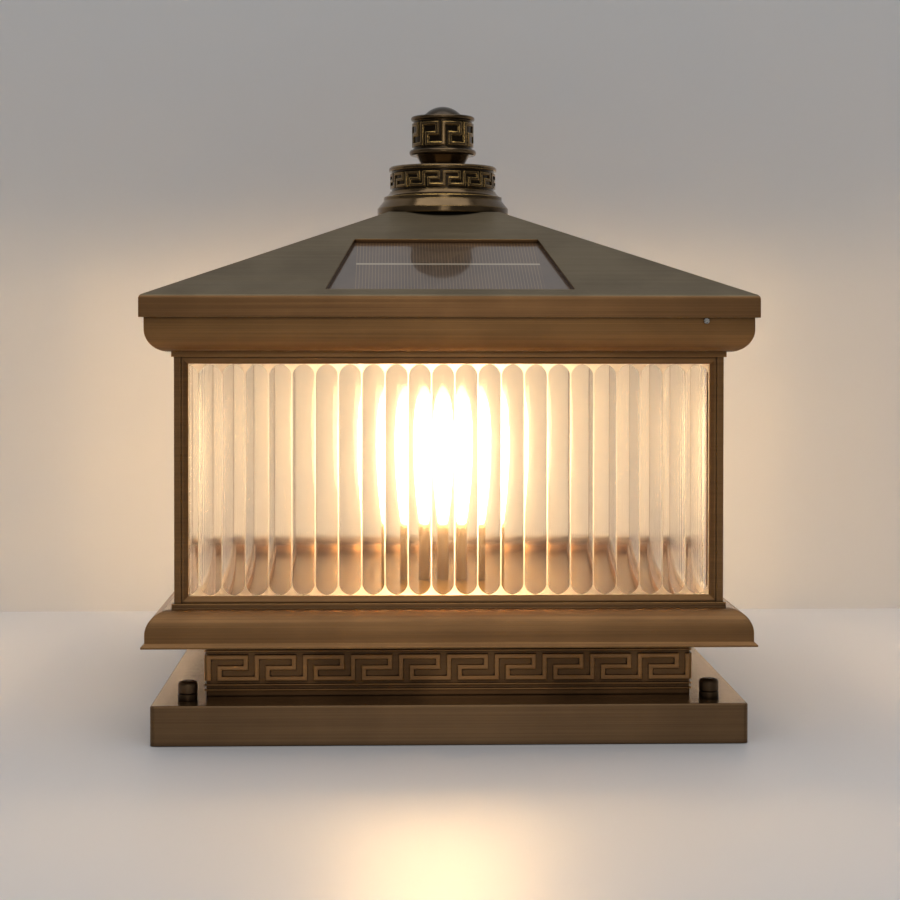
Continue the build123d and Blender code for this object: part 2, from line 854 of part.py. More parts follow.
def bulb_globe():
    outer_cheek, outer_top, foot, crown = globe_outline(0)
    inner_cheek, inner_top, _, inner_crown = globe_outline(globe_wall)
    neck = Line((cap_radius, foot), (cap_radius - globe_wall, foot))
    axis = Line((0, crown), (0, inner_crown))
    return turned(outer_cheek, outer_top, axis, inner_top, inner_cheek, neck)


def build():
    """Every sub-part by the name of its node."""
    pieces = {
        "mounting_plate": mounting_plate(),
        "mounting_studs": mounting_studs(),
        "base_tray": base_tray(),
        "stud_washers": stud_washers(),
        "neck_screws": neck_screws(),
        "floor_plate": floor_plate(),
        "floor_screws": floor_screws(),
        "roof_lock_screws": roof_lock_screws(),
        "roof_shell": roof_shell(),
        "ceiling_plate": ceiling_plate(),
        "ceiling_screws": ceiling_screws(),
        "controller_box": controller_box(),
        "battery_holder": battery_holder(),
        "battery_cells": battery_cells(),
        "controller_board": controller_board(),
        "power_switch": power_switch(),
        "power_button": power_button(),
        "finial_drum": finial_drum(),
        "finial_knob": finial_knob(),
        "finial_rod": finial_rod(),
        "finial_nut": finial_nut(),
        "lampholder": lampholder(),
        "holder_screws": holder_screws(),
        "bulb_contact": bulb_contact(),
        "bulb_cap": bulb_cap(),
        "bulb_globe": bulb_globe(),
    }
    side_pieces = {
        "neck_fret": neck_side(),
        "lower_moulding": lower_moulding_side(),
        "window_frame": window_frame(),
        "glass_pane": glass_pane(),
        "upper_moulding": upper_moulding_side(),
        "solar_panel": solar_panel(),
    }
    for name, piece in side_pieces.items():
        for side, angle in side_angles.items():
            pieces[f"{name}_{side}"] = piece.rotate(Axis.Z, angle)
    rear_right = Pos(stud_half, stud_half, 0) * cap_nut()
    for corner, angle in corner_angles.items():
        pieces[f"corner_post_{corner}"] = corner_post().rotate(Axis.Z, angle)
        pieces[f"cap_nut_{corner}"] = rear_right.rotate(Axis.Z, angle)
    return pieces


os.makedirs("parts", exist_ok=True)
for node, piece in build().items():
    export_step(piece, f"parts/{node}.step")
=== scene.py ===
# %% [markdown]
# # A solar pillar light in antique bronze
# The real light is a square lantern for the top of a gate pillar: sheet and cast metal in a dark bronze
# finish, fluted glass on four sides, a lit bulb behind it and solar panels in the roof. Its shape is
# already in the frame, so this file gives each piece its finish, and sets the camera, the stage and the
# light.

# %% The frame
import math

import bpy
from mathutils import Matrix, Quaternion, Vector


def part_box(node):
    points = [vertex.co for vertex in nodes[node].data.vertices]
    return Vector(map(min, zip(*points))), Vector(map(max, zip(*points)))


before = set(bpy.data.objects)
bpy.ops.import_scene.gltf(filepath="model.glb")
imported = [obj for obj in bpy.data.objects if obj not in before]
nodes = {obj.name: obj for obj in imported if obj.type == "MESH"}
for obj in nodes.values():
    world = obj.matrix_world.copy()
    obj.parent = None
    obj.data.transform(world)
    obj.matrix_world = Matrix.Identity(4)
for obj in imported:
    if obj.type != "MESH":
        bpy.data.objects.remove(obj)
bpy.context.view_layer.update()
sides = ("front", "right", "rear", "left")
corners = ("front_left", "front_right", "rear_left", "rear_right")

# %% [markdown]
# ## The camera
# The photograph was taken almost level, a metre from the front, a little to the left of the middle. A long
# lens keeps the sides from spreading. Its upright edges hardly lean, although the light stands low in the
# picture, so the lens was shifted and not tilted. A small roll follows the slight slope of the photograph.

# %% The camera
camera_place = Vector((-0.0289, -1.0632, 0.2012))
camera_target = Vector((-0.0005, -0.150, 0.1853))
camera_lens = 75.9
camera_shift = -0.0962
camera_roll = math.radians(0.05)

camera = bpy.data.objects.new("camera", bpy.data.cameras.new("camera"))
bpy.context.scene.collection.objects.link(camera)
camera.location = camera_place
camera.rotation_mode = "QUATERNION"
aim = (camera_target - camera_place).to_track_quat("-Z", "Y")
camera.rotation_quaternion = aim @ Quaternion((0, 0, 1), camera_roll)
camera.data.lens = camera_lens
camera.data.shift_y = camera_shift
bpy.context.scene.camera = camera
bpy.context.scene.view_settings.view_transform = "Standard"
print("camera:", round((camera_target - camera_place).length, 3), "m from its target")

# %% [markdown]
# ## Helpers for node trees
# Every finish here is made of nodes, and small helpers keep the trees readable: one adds a node and fills
# its inputs, one starts a node group with named sockets, one gives a finish to the pieces that wear it. A
# group holds an effect that several finishes share.

# %% Helpers for node trees
def add(tree, kind, inputs=None, **settings):
    """A new node; inputs maps a socket's name or index to a value or to another node's output."""
    node = tree.nodes.new(kind)
    for name, value in settings.items():
        setattr(node, name, value)
    for name, value in (inputs or {}).items():
        if isinstance(value, bpy.types.NodeSocket):
            tree.links.new(value, node.inputs[name])
        else:
            node.inputs[name].default_value = value
    return node


def math_node(tree, operation, first, second=0.0):
    """The output of one Math node."""
    return add(tree, "ShaderNodeMath", {0: first, 1: second}, operation=operation).outputs[0]


def ramp(tree, value, low, high, out_low=0.0, out_high=1.0):
    """A value carried smoothly from the range low..high to out_low..out_high."""
    inputs = {"Value": value, "From Min": low, "From Max": high, "To Min": out_low, "To Max": out_high}
    return add(tree, "ShaderNodeMapRange", inputs, interpolation_type="SMOOTHSTEP").outputs["Result"]


def mix_colour(tree, factor, first, second):
    """The colour output of one Mix node."""
    node = add(tree, "ShaderNodeMix", data_type="RGBA")
    for socket, value in ((0, factor), (6, first), (7, second)):
        if isinstance(value, bpy.types.NodeSocket):
            tree.links.new(value, node.inputs[socket])
        else:
            node.inputs[socket].default_value = value
    return node.outputs[2]


def start_group(name, inputs, outputs):
    """A new shader node group with value inputs and outputs, and its two end nodes."""
    tree = bpy.data.node_groups.new(name, "ShaderNodeTree")
    for socket, value in inputs.items():
        made = tree.interface.new_socket(socket, in_out="INPUT", socket_type="NodeSocketFloat")
        made.default_value = value
    for socket, kind in outputs.items():
        tree.interface.new_socket(socket, in_out="OUTPUT", socket_type=kind)
    return tree, tree.nodes.new("NodeGroupInput"), tree.nodes.new("NodeGroupOutput")


def place_group(tree, group, **inputs):
    """A group placed in a material with its own values."""
    node = tree.nodes.new("ShaderNodeGroup")
    node.node_tree = group
    for name, value in inputs.items():
        node.inputs[name.replace("_", " ")].default_value = value
    return node


def new_material(name):
    """A material with an empty node tree, its tree and its output node."""
    material = bpy.data.materials.new(name)
    material.use_nodes = True
    material.node_tree.nodes.clear()
    return material, material.node_tree, material.node_tree.nodes.new("ShaderNodeOutputMaterial")


def dress(material, *names):
    """Gives CAD nodes a material."""
    for name in names:
        nodes[name].data.materials.clear()
        nodes[name].data.materials.append(material)


def rgb(red, green, blue):
    """A colour written as it looks on screen, 0 to 255, as the linear colour that nodes use."""
    def linear(value):
        value /= 255
        return value / 12.92 if value <= 0.04045 else ((value + 0.055) / 1.055) ** 2.4
    return (linear(red), linear(green), linear(blue), 1.0)


print("helpers ready")

# %% [markdown]
# ## Brushing
# The mouldings and the tray are brushed before they are patinated, so fine lines run along each length. The
# lines are a noise that changes quickly across the brushing and slowly along it. On upright faces that
# means quick in Z, and on level faces quick in Y, so the group chooses by the direction of the face. A
# picture of brushed metal would need unwrapping, while a noise fits a piece of any length.

# %% The brushing group
noise_low, noise_high = 0.3, 0.7
level_above = 0.93


def make_brushing():
    outputs = {"Lines": "NodeSocketFloat", "Streaks": "NodeSocketFloat"}
    tree, ends, out = start_group("brushing", {"Lines per metre": 2600.0, "Stretch": 6.0}, outputs)
    place = add(tree, "ShaderNodeSeparateXYZ", {0: add(tree, "ShaderNodeTexCoord").outputs["Object"]})
    facing = add(tree, "ShaderNodeSeparateXYZ", {0: add(tree, "ShaderNodeNewGeometry").outputs["Normal"]})
    level = math_node(tree, "GREATER_THAN", math_node(tree, "ABSOLUTE", facing.outputs["Z"]), level_above)
    across = add(tree, "ShaderNodeMix", {0: level, 2: place.outputs["Z"], 3: place.outputs["Y"]}).outputs[0]
    quick = math_node(tree, "MULTIPLY", across, ends.outputs["Lines per metre"])
    along_x = math_node(tree, "MULTIPLY", place.outputs["X"], ends.outputs["Stretch"])
    along_y = math_node(tree, "MULTIPLY", place.outputs["Y"], ends.outputs["Stretch"])
    upright_y = math_node(tree, "MULTIPLY", along_y, math_node(tree, "SUBTRACT", 1.0, level))
    spread = add(tree, "ShaderNodeCombineXYZ", {"X": along_x, "Y": upright_y, "Z": quick}).outputs[0]
    fine = add(tree, "ShaderNodeTexNoise", {"Vector": spread, "Scale": 1.0, "Detail": 3.0, "Roughness": 0.65})
    wide = add(tree, "ShaderNodeVectorMath", {0: spread, 1: (0.5, 0.5, 0.3)}, operation="MULTIPLY").outputs[0]
    broad = add(tree, "ShaderNodeTexNoise", {"Vector": wide, "Scale": 1.0, "Detail": 2.0, "Roughness": 0.5})
    tree.links.new(ramp(tree, fine.outputs["Fac"], noise_low, noise_high), out.inputs["Lines"])
    tree.links.new(ramp(tree, broad.outputs["Fac"], noise_low, noise_high), out.inputs["Streaks"])
    return tree


brushing = make_brushing()
print("group:", brushing.name)

# %% [markdown]
# ## Worn edges and dark hollows, with painted light
# An antique finish is rubbed back on the corners and left dark in the hollows. The bright edges also stand in
# as painted highlights, and the dark hollows as painted shade, where light reaches less. A Bevel node looks
# a short way around each point: where its normal differs from the face's own there is an edge. An Ambient
# Occlusion node finds the hollows. Both are masks, and the bevelled normal also takes the razor edge off the
# solids. Wear could be painted by hand too, but this way no edge of the many is forgotten.

# %% The wear group, with painted light
edge_from, edge_full = 0.99, 0.8
hollow_from, hollow_full = 0.9, 0.35
chip_size = 220.0
chip_low, chip_high, chip_least = 0.25, 0.65, 0.35


def make_wear_and_painted_light():
    outputs = {"Edge": "NodeSocketFloat", "Hollow": "NodeSocketFloat", "Normal": "NodeSocketVector"}
    tree, ends, out = start_group("wear_and_painted_light", {"Edge width": 0.0008, "Hollow reach": 0.004}, outputs)
    soft = add(tree, "ShaderNodeBevel", {"Radius": ends.outputs["Edge width"]}, samples=6)
    flat = add(tree, "ShaderNodeNewGeometry")
    pair = {0: soft.outputs[0], 1: flat.outputs["Normal"]}
    agree = add(tree, "ShaderNodeVectorMath", pair, operation="DOT_PRODUCT")
    shade = add(tree, "ShaderNodeAmbientOcclusion", {"Distance": ends.outputs["Hollow reach"]}, samples=8)
    # The hollow mask: patina in the hollows and painted shade where light reaches less.
    hollow_patina_and_shade = ramp(tree, shade.outputs["AO"], hollow_from, hollow_full)
    rough = add(tree, "ShaderNodeTexNoise", {"Scale": chip_size, "Detail": 3.0})
    tree.links.new(add(tree, "ShaderNodeTexCoord").outputs["Object"], rough.inputs["Vector"])
    broken = ramp(tree, rough.outputs["Fac"], chip_low, chip_high, chip_least, 1.0)
    # The edge mask: rubbed bare metal that also stands in as a painted highlight.
    edge_wear_and_highlight = math_node(tree, "MULTIPLY", ramp(tree, agree.outputs["Value"], edge_from, edge_full), broken)
    open_edge = math_node(tree, "MULTIPLY", edge_wear_and_highlight, math_node(tree, "SUBTRACT", 1.0, hollow_patina_and_shade))
    tree.links.new(open_edge, out.inputs["Edge"])
    tree.links.new(hollow_patina_and_shade, out.inputs["Hollow"])
    tree.links.new(soft.outputs[0], out.inputs["Normal"])
    return tree


wear_and_painted_light = make_wear_and_painted_light()
print("group:", wear_and_painted_light.name)

# %% [markdown]
# ## Cloudy patina
# Chemical colouring is never even: it leaves clouds a few centimetres across and a fine speckle. Both are
# noise in the object's own space, so they carry on around a corner, as a picture wrapped on each face would
# not.

# %% The patina group
def make_patina():
    outputs = {"Clouds": "NodeSocketFloat", "Speckle": "NodeSocketFloat"}
    tree, ends, out = start_group("patina", {"Cloud size": 28.0, "Speckle size": 900.0}, outputs)
    place = add(tree, "ShaderNodeTexCoord").outputs["Object"]
    for name, size, detail in (("Clouds", "Cloud size", 4.0), ("Speckle", "Speckle size", 1.0)):
        inputs = {"Vector": place, "Scale": ends.outputs[size], "Detail": detail}
        noise = add(tree, "ShaderNodeTexNoise", inputs)
        tree.links.new(ramp(tree, noise.outputs["Fac"], noise_low, noise_high), out.inputs[name])
    return tree


patina = make_patina()
print("group:", patina.name)

# %% [markdown]
# ## Masks from the shape
# Some finishes follow the shape itself. The ground of a fret lies deeper than its bars, so it is found by
# its distance from the light's axis: square for the neck, round for the finial. The roof has brushed
# upright sides and smooth slopes, so there the direction of the face decides; the slopes' greyer tone is
# painted light, the cooler light they catch from above, and on the finial's knob the same mask gives the
# dome a darker tone that is painted shade.

# %% Masks from the shape
def level_face(tree, low, high):
    """0 on upright faces and 1 on level ones; low and high bound the slopes between."""
    facing = add(tree, "ShaderNodeSeparateXYZ", {0: add(tree, "ShaderNodeNewGeometry").outputs["Normal"]})
    return ramp(tree, math_node(tree, "ABSOLUTE", facing.outputs["Z"]), low, high)


def axis_reach(tree, is_round):
    """The distance from the light's axis, measured to a circle or to a square."""
    place = add(tree, "ShaderNodeSeparateXYZ", {0: add(tree, "ShaderNodeTexCoord").outputs["Object"]})
    if is_round:
        across = add(tree, "ShaderNodeCombineXYZ", {"X": place.outputs["X"], "Y": place.outputs["Y"]})
        return add(tree, "ShaderNodeVectorMath", {0: across.outputs[0]}, operation="LENGTH").outputs["Value"]
    wide_x = math_node(tree, "ABSOLUTE", place.outputs["X"])
    return math_node(tree, "MAXIMUM", wide_x, math_node(tree, "ABSOLUTE", place.outputs["Y"]))


def fret_ground(tree, bar_reach, relief, is_round):
    """1 on the upright ground of a fret whose bars stand bar_reach from the axis."""
    deep = ramp(tree, axis_reach(tree, is_round), bar_reach - 0.3 * relief, bar_reach - 0.8 * relief)
    return math_node(tree, "MULTIPLY", deep, math_node(tree, "SUBTRACT", 1.0, level_face(tree, 0.3, 0.6)))


print("masks ready")

# %% [markdown]
# ## Antique bronze
# One recipe gives every bronze surface, with its own tones and amounts: a dark and a light tone mixed by
# the clouds and the brushing, bare golden metal on the edges that also stands in as a painted highlight,
# and near black in the hollows that is partly patina and partly painted shade. Brushed metal scatters light
# across its lines, so its highlights are drawn out upwards: the Anisotropic value does that.

# %% The bronze recipe
streak_share = 0.4
roughness_swing = 0.06
level_polish = 0.4
speckle_share = 0.25
grain_strength = 0.2
grain_depth = 0.0001
highlight_stretch = 1.25


def bronze(name, dark, light, brushed, roughness, rubbed_and_highlight_tone=rgb(190, 146, 84), patina_and_shade_black=rgb(26, 18, 11), edge_wear_and_highlight=0.7,
           edge_width=0.0008, hollow_patina_and_shade=0.7, hollow_reach=0.004, metallic=0.85, specular=0.5, painted_light_level_tones=None,
           fret=None, ground=0.85):
    """A bronze finish; the level tones give level faces their painted light, fret the size of a fret with a
    dark ground.
    """
    material, tree, out = new_material(name)
    lines = place_group(tree, brushing)
    wear_and_light_masks = place_group(tree, wear_and_painted_light, Edge_width=edge_width, Hollow_reach=hollow_reach)
    cloudy = place_group(tree, patina)
    clouds = cloudy.outputs["Clouds"]
    streak = math_node(tree, "MULTIPLY", lines.outputs["Streaks"], brushed * streak_share)
    line = math_node(tree, "MULTIPLY", lines.outputs["Lines"], brushed * (1.0 - streak_share))
    cloud = math_node(tree, "MULTIPLY", clouds, 1.0 - brushed)
    tone = math_node(tree, "ADD", cloud, math_node(tree, "ADD", streak, line))
    colour = mix_colour(tree, tone, dark, light)
    # Level faces can take tones of their own: painted light, as the light that falls on them from above.
    if painted_light_level_tones:
        colour = mix_colour(tree, level_face(tree, 0.4, 0.7), colour, mix_colour(tree, clouds, *painted_light_level_tones))
    # Near black in the hollows: patina and painted shade.
    shade = math_node(tree, "MULTIPLY", wear_and_light_masks.outputs["Hollow"], hollow_patina_and_shade)
    if fret:
        deep = math_node(tree, "MULTIPLY", fret_ground(tree, *fret), ground)
        shade = math_node(tree, "MAXIMUM", shade, deep)
    colour = mix_colour(tree, shade, colour, patina_and_shade_black)
    # Bright metal on the edges: rubbed wear and a painted highlight.
    colour = mix_colour(tree, math_node(tree, "MULTIPLY", wear_and_light_masks.outputs["Edge"], edge_wear_and_highlight), colour, rubbed_and_highlight_tone)
    gloss = ramp(tree, tone, 0.0, 1.0, roughness + roughness_swing, roughness - roughness_swing)
    if not painted_light_level_tones:
        polish = ramp(tree, level_face(tree, 0.9, 0.99), 0.0, 1.0, 1.0, level_polish)
        gloss = math_node(tree, "MULTIPLY", gloss, polish)
    grain = math_node(tree, "MULTIPLY", lines.outputs["Lines"], brushed)
    speckle = math_node(tree, "MULTIPLY", cloudy.outputs["Speckle"], speckle_share)
    bump = add(tree, "ShaderNodeBump", {
        "Height": math_node(tree, "ADD", grain, speckle), "Strength": grain_strength, "Distance": grain_depth,
        "Normal": wear_and_light_masks.outputs["Normal"]})
    upwards = add(tree, "ShaderNodeCombineXYZ", {"X": 0.0, "Y": 0.05, "Z": 1.0})
    shader = add(tree, "ShaderNodeBsdfPrincipled", {
        "Base Color": colour, "Metallic": metallic, "Roughness": gloss, "Normal": bump.outputs[0],
        "Anisotropic": highlight_stretch * brushed, "Tangent": upwards.outputs[0],
        "Specular IOR Level": specular})
    tree.links.new(shader.outputs[0], out.inputs["Surface"])
    return material


print("bronze recipe ready")

# %% [markdown]
# ## Where the bronze goes
# The brushed pieces differ a little in tone, the fretted ones are darker in their ground, and the cast
# finial is glossier with brightly rubbed edges, which also stand in as painted highlights. The upper
# mouldings are lighter than the lower ones: painted light, the glow of the lit glass on them. The lantern's
# floor is matt and brown. Each kind of piece has its own call of the recipe, so that one can be changed
# without the others.

# %% The bronze finishes
neck_reach = -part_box("neck_fret_front")[0].y
drum_reach = 0.0294
knob_reach = 0.0172
neck_relief = 0.0011
finial_relief = 0.0008
cast_tones = (rgb(82, 66, 46), rgb(130, 106, 74))
# The finial's bright edges are rubbed metal and painted highlights.
cast_look = {"rubbed_and_highlight_tone": rgb(244, 200, 120), "edge_wear_and_highlight": 1.0, "edge_width": 0.0011, "hollow_patina_and_shade": 0.95}
brushed_bronze = bronze("brushed_bronze", rgb(112, 80, 47), rgb(142, 103, 61), 0.7, 0.36, metallic=0.7)
# The upper mouldings' lighter tone is painted light: the glow of the lit glass below them.
upper_bronze_painted_glow = bronze("upper_bronze_painted_glow", rgb(123, 88, 50), rgb(156, 113, 65), 0.7, 0.36, metallic=0.7)
tray_bronze = bronze("tray_bronze", rgb(102, 77, 51), rgb(130, 100, 67), 0.7, 0.36, metallic=0.7)
# The roof's slopes are smooth, and their greyer tone is painted light: the cooler light from above.
roof_bronze = bronze("roof_bronze", rgb(110, 79, 49), rgb(140, 102, 64), 0.7, 0.36, edge_wear_and_highlight=0.5,
                     painted_light_level_tones=(rgb(92, 81, 63), rgb(106, 94, 73)))
# The fret's near black hollows are patina and painted shade along the foot of each bar.
fret_bronze = bronze("fret_bronze", rgb(124, 90, 56), rgb(164, 122, 78), 0.3, 0.34, patina_and_shade_black=rgb(14, 8, 3),
                     hollow_patina_and_shade=1.0, hollow_reach=0.0024, fret=(neck_reach, neck_relief, False), ground=0.55)
drum_bronze = bronze("drum_bronze", *cast_tones, 0.1, 0.17, fret=(drum_reach, finial_relief, True),
                     **cast_look)
# The knob's darker level faces are painted shade, holding down the overhead lamp's reflection in its dome.
knob_bronze = bronze("knob_bronze", *cast_tones, 0.1, 0.17, fret=(knob_reach, finial_relief, True),
                     painted_light_level_tones=(rgb(54, 46, 38), rgb(72, 62, 51)), **cast_look)
dark_bronze = bronze("dark_bronze", rgb(78, 61, 43), rgb(108, 85, 60), 0.2, 0.34, rubbed_and_highlight_tone=rgb(160, 126, 84))
floor_bronze = bronze("floor_bronze", rgb(70, 51, 15), rgb(88, 66, 22), 0.2, 0.6, metallic=0.0, specular=0.1)

dress(tray_bronze, "base_tray")
dress(brushed_bronze, "ceiling_plate")
dress(floor_bronze, "floor_plate")
for side in sides:
    dress(upper_bronze_painted_glow, f"upper_moulding_{side}")
    dress(brushed_bronze, f"lower_moulding_{side}", f"window_frame_{side}")
    dress(fret_bronze, f"neck_fret_{side}")
for corner in corners:
    dress(brushed_bronze, f"corner_post_{corner}")
    dress(dark_bronze, f"cap_nut_{corner}")
dress(roof_bronze, "roof_shell")
dress(drum_bronze, "finial_drum")
dress(knob_bronze, "finial_knob")
dress(dark_bronze, "stud_washers", "mounting_plate")
print("bronze finishes:", [material.name for material in bpy.data.materials if "bronze" in material.name])

# %% [markdown]
# ## Plated steel, plastics and the small inner parts
# Most of these show only when the light is opened, but each still has the grain of its own material: turned
# steel, moulded plastic with a fine texture, a printed board and shrink sleeving on the cells. One short
# recipe is enough for all of them: two close tones, a fine speckle in the gloss and the same speckle as
# relief.

# %% Small parts
speckle_swing = 0.05


def plain(name, colour, tint, roughness, metallic=0.0, grain=0.1, size=1500.0, coat=0.0):
    """A finish of two close tones; grain is the strength of its relief and size its fineness."""
    material, tree, out = new_material(name)
    cloudy = place_group(tree, patina, Cloud_size=60.0, Speckle_size=size)
    mixed = mix_colour(tree, cloudy.outputs["Clouds"], colour, tint)
    smoothest, roughest = roughness - speckle_swing, roughness + speckle_swing
    gloss = ramp(tree, cloudy.outputs["Speckle"], 0.0, 1.0, smoothest, roughest)
    inputs = {"Height": cloudy.outputs["Speckle"], "Strength": grain, "Distance": grain_depth}
    bump = add(tree, "ShaderNodeBump", inputs)
    shader = add(tree, "ShaderNodeBsdfPrincipled", {
        "Base Color": mixed, "Metallic": metallic, "Roughness": gloss, "Coat Weight": coat,
        "Normal": bump.outputs[0]})
    tree.links.new(shader.outputs[0], out.inputs["Surface"])
    return material


plated_steel = plain("plated_steel", rgb(168, 166, 160), rgb(196, 194, 190), 0.3, metallic=1.0)
black_plastic = plain("black_plastic", rgb(30, 30, 31), rgb(40, 40, 41), 0.55, grain=0.25)
brown_plastic = plain("brown_plastic", rgb(146, 110, 50), rgb(164, 128, 62), 0.4, grain=0.2)
blue_sleeve = plain("blue_sleeve", rgb(28, 76, 128), rgb(36, 90, 146), 0.28, grain=0.05, coat=0.3)
green_board = plain("green_board", rgb(18, 84, 46), rgb(24, 102, 56), 0.4, grain=0.2, coat=0.2)
red_button = plain("red_button", rgb(150, 28, 24), rgb(172, 36, 30), 0.3, grain=0.08)
nickel_cap = plain("nickel_cap", rgb(190, 178, 140), rgb(212, 202, 168), 0.28, metallic=1.0)

dress(plated_steel, "mounting_studs", "neck_screws", "floor_screws", "holder_screws", "roof_lock_screws")
dress(plated_steel, "ceiling_screws", "finial_rod", "finial_nut")
dress(brown_plastic, "lampholder")
dress(black_plastic, "controller_box", "battery_holder", "power_switch", "bulb_contact")
dress(blue_sleeve, "battery_cells")
dress(green_board, "controller_board")
dress(red_button, "power_button")
dress(nickel_cap, "bulb_cap")
print("small parts dressed")

# %% [markdown]
# ## Solar panels
# Each panel is dark cells under glass: hair-thin fingers run up the slope and a bright busbar crosses them.
# The lines are drawn from the panel's own place, so they stay on it from any side. Front and rear panels
# run along X, the other two along Y, and the mask picks whichever is the shorter way from the middle. The
# lines are too thin to be worth modelling, and a formula keeps them sharper than a picture would.

# %% The solar cell finish
finger_pitch = 0.0016
finger_share = 0.2
finger_weight = 0.6
busbar_width = 0.0008
busbar_share = 0.59
cell_half_width = 0.0465


def make_solar_cell():
    material, tree, out = new_material("solar_cell")
    place = add(tree, "ShaderNodeSeparateXYZ", {0: add(tree, "ShaderNodeTexCoord").outputs["Object"]})
    wide_x = math_node(tree, "ABSOLUTE", place.outputs["X"])
    wide_y = math_node(tree, "ABSOLUTE", place.outputs["Y"])
    faces_y = math_node(tree, "GREATER_THAN", wide_y, wide_x)
    along = add(tree, "ShaderNodeMix", {0: faces_y, 2: place.outputs["Y"], 3: place.outputs["X"]}).outputs[0]
    phase = math_node(tree, "FRACT", math_node(tree, "DIVIDE", along, finger_pitch))
    inside = math_node(tree, "LESS_THAN", math_node(tree, "ABSOLUTE", along), cell_half_width)
    finger = math_node(tree, "MULTIPLY", inside, math_node(tree, "LESS_THAN", phase, finger_share))
    low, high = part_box("solar_panel_front")
    middle = low.z + busbar_share * (high.z - low.z)
    away = math_node(tree, "ABSOLUTE", math_node(tree, "SUBTRACT", place.outputs["Z"], middle))
    busbar = math_node(tree, "MULTIPLY", inside, math_node(tree, "LESS_THAN", away, busbar_width / 2))
    cloudy = place_group(tree, patina, Cloud_size=40.0, Speckle_size=700.0)
    silicon = mix_colour(tree, cloudy.outputs["Clouds"], rgb(66, 46, 27), rgb(82, 60, 39))
    lined = mix_colour(tree, math_node(tree, "MULTIPLY", finger, finger_weight), silicon, rgb(152, 120, 86))
    colour = mix_colour(tree, busbar, lined, rgb(170, 156, 136))
    shader = add(tree, "ShaderNodeBsdfPrincipled", {
        "Base Color": colour, "Metallic": 0.0, "Roughness": 0.35, "Coat Weight": 1.0, "Coat Roughness": 0.06})
    tree.links.new(shader.outputs[0], out.inputs["Surface"])
    return material


dress(make_solar_cell(), *[f"solar_panel_{side}" for side in sides])
print("fingers every", finger_pitch * 1000, "mm")

# %% [markdown]
# ## Fluted glass
# The panes are pressed glass with a hollow flute every 11 mm, so each flute shows a small picture of the
# bulb. Most of the light goes straight through and a little is scattered, which makes the soft halo around
# the bulb. The flat lands between the arches keep the dull skin of the press, so they are rougher and catch
# the light: their mask is the outermost face of the pane. Lamp rays are let straight through by a
# Transparent shader, because a renderer can't find a lamp through bent glass.

# %% The glass finish
pane_tint = (1.0, 0.985, 0.95, 1.0)
shadow_tint = (0.93, 0.91, 0.86, 1.0)
glass_ior = 1.48
pane_haze = 0.035
haze_roughness = 0.4
flute_roughness = 0.08
land_roughness = 0.85
land_depth = 0.00012


def make_pane_glass():
    material, tree, out = new_material("pane_glass")
    face = -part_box("glass_pane_front")[0].y
    land = ramp(tree, axis_reach(tree, False), face - land_depth, face, flute_roughness, land_roughness)
    sharp = add(tree, "ShaderNodeBsdfPrincipled", {
        "Base Color": pane_tint, "Roughness": land, "IOR": glass_ior, "Transmission Weight": 1.0})
    hazy = add(tree, "ShaderNodeBsdfPrincipled", {
        "Base Color": pane_tint, "Roughness": haze_roughness, "IOR": glass_ior, "Transmission Weight": 1.0})
    glass = add(tree, "ShaderNodeMixShader", {0: pane_haze, 1: sharp.outputs[0], 2: hazy.outputs[0]})
    clear = add(tree, "ShaderNodeBsdfTransparent", {"Color": shadow_tint})
    rays = add(tree, "ShaderNodeLightPath")
    inputs = {0: rays.outputs["Is Shadow Ray"], 1: glass.outputs[0], 2: clear.outputs[0]}
    both = add(tree, "ShaderNodeMixShader", inputs)
    tree.links.new(both.outputs[0], out.inputs["Surface"])
    return material


dress(make_pane_glass(), *[f"glass_pane_{side}" for side in sides])
print("panes:", len(sides))

# %% [markdown]
# ## The lit bulb
# The bulb is frosted and its light source sits in its middle, so it is brightest around its waist and
# dimmer at its neck and its crown. It is the warm light of the picture, and a real emitting surface also
# lights the floor and the inside of the lantern. A lamp hidden in a clear bulb would light them too, but
# then each flute would show a small point and not the soft shape of the bulb.

# %% The bulb's finish
bulb_strength = 92.0
dome_from = 0.05
dome_full = 0.4
crown_from = 0.66
crown_full = 0.94
neck_glow = rgb(172, 140, 100)
dome_glow = rgb(255, 212, 156)
crown_glow = rgb(44, 36, 26)


def make_bulb_glow():
    material, tree, out = new_material("bulb_glow")
    low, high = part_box("bulb_globe")
    rise = high.z - low.z
    place = add(tree, "ShaderNodeSeparateXYZ", {0: add(tree, "ShaderNodeTexCoord").outputs["Object"]})
    dome = ramp(tree, place.outputs["Z"], low.z + dome_from * rise, low.z + dome_full * rise)
    crown = ramp(tree, place.outputs["Z"], low.z + crown_from * rise, low.z + crown_full * rise)
    glow = mix_colour(tree, crown, mix_colour(tree, dome, neck_glow, dome_glow), crown_glow)
    cloudy = place_group(tree, patina, Cloud_size=40.0, Speckle_size=800.0)
    gloss = ramp(tree, cloudy.outputs["Speckle"], 0.0, 1.0, 0.35, 0.45)
    shader = add(tree, "ShaderNodeBsdfPrincipled", {
        "Base Color": rgb(250, 240, 220), "Roughness": gloss, "Emission Color": glow,
        "Emission Strength": bulb_strength})
    tree.links.new(shader.outputs[0], out.inputs["Surface"])
    return material


dress(make_bulb_glow(), "bulb_globe")
print("bulb strength:", bulb_strength)

# %% [markdown]
# ## The stage
# A pale floor and a pale wall close behind, as in a small product studio. They are flat sheets, not pieces
# of the light. From behind the wall is clear, so that the back can be looked at too.

# %% The floor and the wall
def sheet(name, points, material):
    """One flat face of the stage."""
    mesh = bpy.data.meshes.new(name)
    mesh.from_pydata(points, [], [tuple(range(len(points)))])
    mesh.materials.append(material)
    made = bpy.data.objects.new(name, mesh)
    bpy.context.scene.collection.objects.link(made)


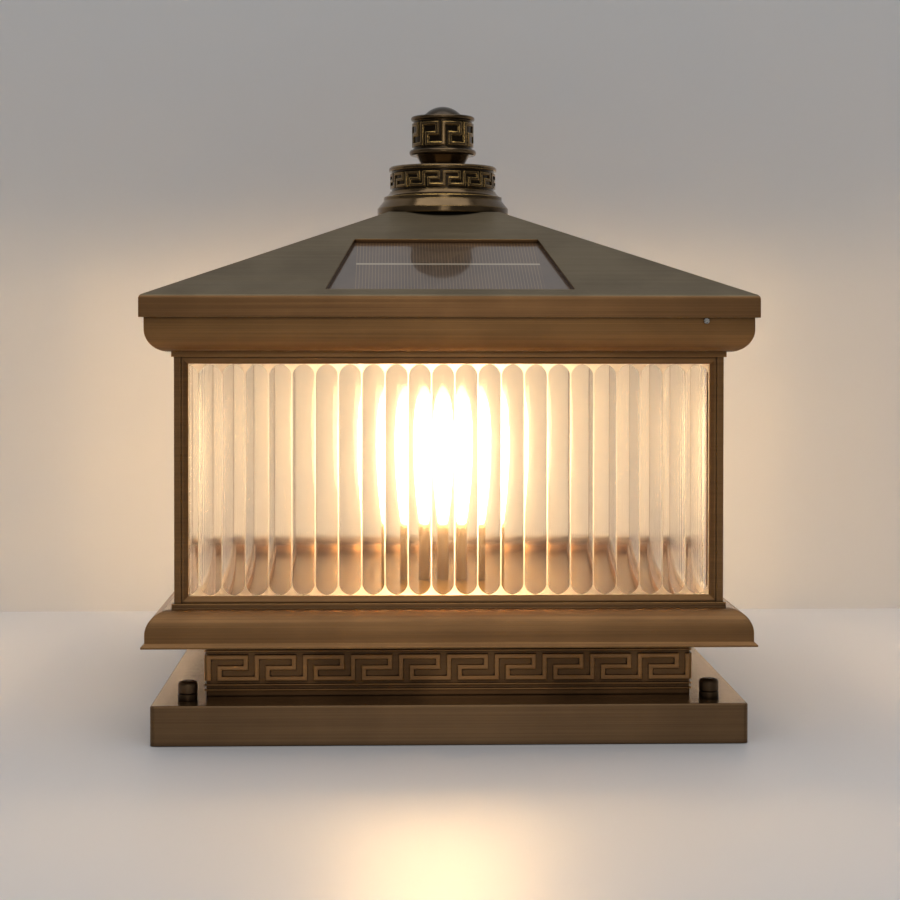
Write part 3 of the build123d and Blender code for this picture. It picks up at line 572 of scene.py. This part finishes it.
def make_stage_paint(name, colour, roughness, clear_behind):
    """Plain paint; with clear_behind it can be looked through from its back."""
    material, tree, out = new_material(name)
    paint = add(tree, "ShaderNodeBsdfPrincipled", {"Base Color": colour, "Roughness": roughness})
    if clear_behind:
        clear = add(tree, "ShaderNodeBsdfTransparent")
        behind = add(tree, "ShaderNodeNewGeometry").outputs["Backfacing"]
        both = add(tree, "ShaderNodeMixShader", {0: behind, 1: paint.outputs[0], 2: clear.outputs[0]})
        tree.links.new(both.outputs[0], out.inputs["Surface"])
    else:
        tree.links.new(paint.outputs[0], out.inputs["Surface"])
    return material


stage_half = 4.0
wall_place = 0.30
wall_height = 3.0
floor_level = -0.0003
floor_paint = make_stage_paint("floor_paint", rgb(222, 222, 224), 0.47, False)
wall_paint = make_stage_paint("wall_paint", rgb(222, 222, 222), 0.68, True)
sheet("floor", [(-stage_half, -stage_half, floor_level), (stage_half, -stage_half, floor_level),
                (stage_half, stage_half, floor_level), (-stage_half, stage_half, floor_level)], floor_paint)
sheet("wall", [(-stage_half, wall_place, floor_level), (stage_half, wall_place, floor_level),
               (stage_half, wall_place, wall_height), (-stage_half, wall_place, wall_height)], wall_paint)
print("stage: a floor and a wall")

# %% [markdown]
# ## The studio light
# One large soft lamp overhead gives the roof its even sheen. A smaller one in front of the middle shows in
# the brushed mouldings as a broad bright band that fades towards their ends. The world fills the shadows.
# All stay modest, because the bulb is the brightest thing here.

# %% Lamps and world
def area_lamp(name, place, target, size, power, colour):
    """A square soft lamp that faces a target."""
    lamp = bpy.data.lights.new(name, "AREA")
    lamp.size = size
    lamp.energy = power
    lamp.color = colour
    made = bpy.data.objects.new(name, lamp)
    made.location = place
    made.rotation_mode = "QUATERNION"
    made.rotation_quaternion = (Vector(target) - Vector(place)).to_track_quat("-Z", "Y")
    bpy.context.scene.collection.objects.link(made)


world_colour = (0.9, 0.9, 0.92, 1.0)
world_strength = 0.13
area_lamp("overhead", (0.0, -0.5, 1.7), (0.0, 0.0, 0.1), size=1.6, power=14.0, colour=(1.0, 1.0, 1.0))
area_lamp("front_box", (0.06, -2.0, 0.6), (0.0, 0.0, 0.15), size=0.5, power=2.0, colour=(1.0, 0.97, 0.92))

world = bpy.data.worlds.new("studio")
bpy.context.scene.world = world
world.use_nodes = True
background = world.node_tree.nodes["Background"]
background.inputs["Color"].default_value = world_colour
background.inputs["Strength"].default_value = world_strength
print("two lamps and a world")
